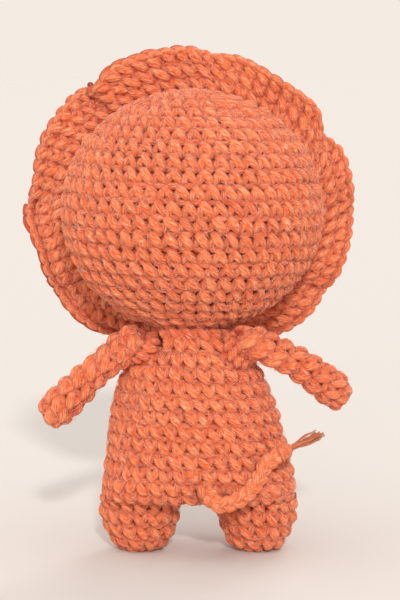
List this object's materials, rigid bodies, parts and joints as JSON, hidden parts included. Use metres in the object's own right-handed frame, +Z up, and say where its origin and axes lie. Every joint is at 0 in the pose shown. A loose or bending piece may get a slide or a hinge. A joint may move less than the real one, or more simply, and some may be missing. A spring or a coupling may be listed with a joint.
{
  "type": "crocheted lion doll",
  "caption": "Stuffed lion doll crocheted in orange cotton yarn, with a ruffled mane, sewn-on arms that swing, a head that turns and tips, and a braided tail.",
  "frame": {"origin": "on the floor under the middle of the doll without its tail", "axes": "+Z up, -Y the way the face looks, +X the doll's left"},
  "size_m": [0.0992, 0.0734, 0.1498],
  "materials": {
    "yarn": "matte",
    "sewing_yarn": "matte",
    "stuffing": "matte",
    "eye_plastic": "gloss",
    "washer_plastic": "satin",
    "face_yarn": "matte"
  },
  "bodies": {
    "body": {"torso_cover": "yarn", "torso_stuffing": "stuffing", "left_leg_cover": "yarn", "left_leg_stuffing": "stuffing", "right_leg_cover": "yarn", "right_leg_stuffing": "stuffing"},
    "neck": {"neck_seam": "sewing_yarn"},
    "head": {"head_cover": "yarn", "head_stuffing": "stuffing", "mane": "yarn", "mane_seam": "sewing_yarn", "left_eye": "eye_plastic", "right_eye": "eye_plastic", "left_eye_washer": "washer_plastic", "right_eye_washer": "washer_plastic", "nose_stitches": "face_yarn", "mouth_stitches": "face_yarn"},
    "left_shoulder": {"left_shoulder_seam": "sewing_yarn"},
    "left_arm": {"left_arm_cover": "yarn", "left_arm_stuffing": "stuffing"},
    "right_shoulder": {"right_shoulder_seam": "sewing_yarn"},
    "right_arm": {"right_arm_cover": "yarn", "right_arm_stuffing": "stuffing"},
    "tail": {"tail_braid": "yarn", "tail_knot": "yarn", "tail_tuft": "yarn"}
  },
  "joints": [
    {"name": "neck_turn", "type": "hinge", "parent": "body", "child": "neck", "pos_m": [-0.00011, 0.0007, 0.064], "axis": [0, 0, 1], "range_deg": [-22, 22], "stiffness_Nm_per_rad": 0.05},
    {"name": "neck_nod", "type": "hinge", "parent": "neck", "child": "head", "pos_m": [-0.00011, 0.0007, 0.072], "axis": [1, 0, 0], "range_deg": [-8, 8], "stiffness_Nm_per_rad": 0.1},
    {"name": "left_arm_swing", "type": "hinge", "parent": "body", "child": "left_shoulder", "pos_m": [0.01748, 0.01041, 0.06373], "axis": [0.6778, 0.4237, 0.6009], "range_deg": [-16, 16], "stiffness_Nm_per_rad": 0.02},
    {"name": "left_arm_raise", "type": "hinge", "parent": "left_shoulder", "child": "left_arm", "pos_m": [0.01748, 0.01041, 0.06373], "axis": [0, -1, 0], "range_deg": [-5, 35], "stiffness_Nm_per_rad": 0.02},
    {"name": "right_arm_swing", "type": "hinge", "parent": "body", "child": "right_shoulder", "pos_m": [-0.01615, 0.01268, 0.06361], "axis": [-0.6227, 0.5268, 0.5785], "range_deg": [-8, 16], "stiffness_Nm_per_rad": 0.02},
    {"name": "right_arm_raise", "type": "hinge", "parent": "right_shoulder", "child": "right_arm", "pos_m": [-0.01615, 0.01268, 0.06361], "axis": [0, 1, 0], "range_deg": [-5, 28], "stiffness_Nm_per_rad": 0.02},
    {"name": "tail_swing", "type": "hinge", "parent": "body", "child": "tail", "pos_m": [-0.00302, 0.02598, 0.02361], "axis": [0, 0, 1], "range_deg": [-90, 0], "stiffness_Nm_per_rad": 0.0005}
  ]
}
